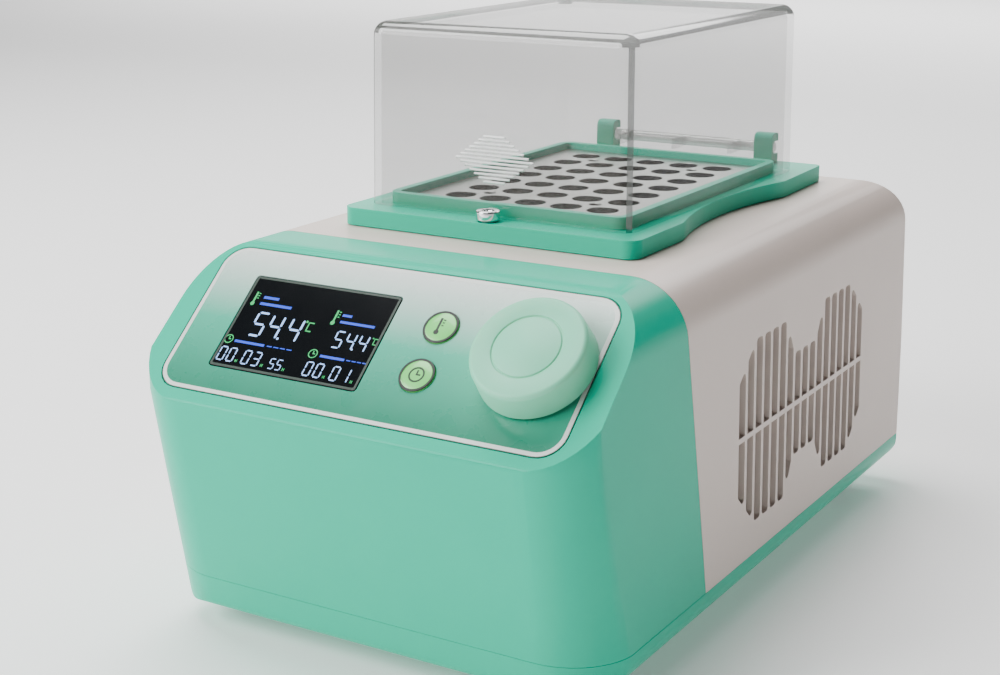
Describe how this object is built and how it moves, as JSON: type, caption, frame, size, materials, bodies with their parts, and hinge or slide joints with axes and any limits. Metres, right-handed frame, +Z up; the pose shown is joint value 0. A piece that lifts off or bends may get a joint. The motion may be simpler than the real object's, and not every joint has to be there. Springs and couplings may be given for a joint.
{
  "type": "dry bath incubator",
  "caption": "Bench-top dry bath that warms sample tubes in a lift-out metal block under a hinged clear lid, with a sloping display panel and knob.",
  "frame": {"origin": "on the bench, under the middle of the case and at the soles of the feet", "axes": "+X to the user's right, +Y from the control panel to the back of the case, +Z up"},
  "size_m": [0.1692, 0.2776, 0.197],
  "materials": {
    "aluminium": "machined, light grey",
    "black_plastic": "black moulded plastic",
    "black_window": "dark glossy display window",
    "brass": "bare",
    "chrome": "bright plated",
    "circuit_board": "green solder mask",
    "clear_plastic": "clear smoked plastic",
    "foam": "foam insulation",
    "green_plastic": "gloss, blue-green moulded plastic",
    "grey_plastic": "grey moulded plastic",
    "key_plastic": "green translucent key with a black ring",
    "knob_plastic": "pale green satin plastic",
    "overlay_film": "printed polyester film, pale grey fading to green",
    "rubber": "matt black",
    "silicone": "orange silicone heater",
    "steel": "plain",
    "white_plastic": "satin, warm white moulded plastic"
  },
  "bodies": {
    "case": {"base_tray": "green_plastic", "buzzer": "black_plastic", "case_screw_front_left": "steel", "case_screw_front_right": "steel", "case_screw_rear_left": "steel", "case_screw_rear_right": "steel", "catch_plate": "steel", "control_overlay": "overlay_film", "display_board": "circuit_board", "display_window": "black_window", "encoder_body": "grey_plastic", "fan_frame": "black_plastic", "filter_capacitor": "black_plastic", "foot_front_left": "rubber", "foot_front_right": "rubber", "foot_rear_left": "rubber", "foot_rear_right": "rubber", "foot_screw_front_left": "steel", "foot_screw_front_right": "steel", "foot_screw_rear_left": "steel", "foot_screw_rear_right": "steel", "front_shell": "green_plastic", "heater_mat": "silicone", "heating_tub": "aluminium", "insulation_jacket": "foam", "lcd_module": "grey_plastic", "main_board": "circuit_board", "power_inlet": "black_plastic", "power_supply_board": "circuit_board", "processor": "black_plastic", "rear_cover": "white_plastic", "relay_heatsink": "aluminium", "switch_frame": "black_plastic", "temp_switch": "black_plastic", "temperature_probe": "steel", "thermal_cutout": "grey_plastic", "time_switch": "black_plastic", "top_collar": "green_plastic", "transformer": "steel", "tub_carrier": "steel"},
    "lid": {"lid_shell": "clear_plastic", "lid_magnet": "chrome"},
    "knob": {"control_knob": "knob_plastic", "encoder_shaft": "steel"},
    "knob_plunger": {"encoder_plunger": "brass"},
    "temp_button": {"temp_key": "key_plastic"},
    "time_button": {"time_key": "key_plastic"},
    "rocker": {"power_rocker": "black_plastic"},
    "rotor": {"fan_rotor": "black_plastic"},
    "block": {"tube_block": "aluminium"},
    "drawer": {"fuse_drawer": "black_plastic"}
  },
  "joints": [
    {"name": "lid_hinge", "type": "hinge", "parent": "case", "child": "lid", "pos_m": [0, 0.1052, 0.1398], "axis": [-1, 0, 0], "range_deg": [0, 95]},
    {"name": "knob_press", "type": "slide", "parent": "case", "child": "knob_plunger", "axis": [0, 0.6542, -0.7563], "range_m": [0, 0.0005], "stiffness_N_per_m": 2000, "springref_m": -0.0005},
    {"name": "knob_turn", "type": "hinge", "parent": "knob_plunger", "child": "knob", "pos_m": [0.0554, -0.11298, 0.10741], "axis": [0, -0.6542, 0.7563], "continuous": true},
    {"name": "temp_key_press", "type": "slide", "parent": "case", "child": "temp_button", "axis": [0, 0.6542, -0.7563], "range_m": [0, 0.0005], "stiffness_N_per_m": 1500, "springref_m": -0.0005},
    {"name": "time_key_press", "type": "slide", "parent": "case", "child": "time_button", "axis": [0, 0.6542, -0.7563], "range_m": [0, 0.0005], "stiffness_N_per_m": 1500, "springref_m": -0.0005},
    {"name": "rocker_tilt", "type": "hinge", "parent": "case", "child": "rocker", "pos_m": [0.042, 0.1323, 0.052], "axis": [0, 0, 1], "range_deg": [0, 12]},
    {"name": "rotor_spin", "type": "hinge", "parent": "case", "child": "rotor", "pos_m": [-0.0685, 0.062, 0.064], "axis": [1, 0, 0], "continuous": true},
    {"name": "block_lift", "type": "slide", "parent": "case", "child": "block", "axis": [0, 0, 1], "range_m": [0, 0.05]},
    {"name": "fuse_drawer_slide", "type": "slide", "parent": "case", "child": "drawer", "axis": [0, 1, 0], "range_m": [0, 0.015]}
  ]
}
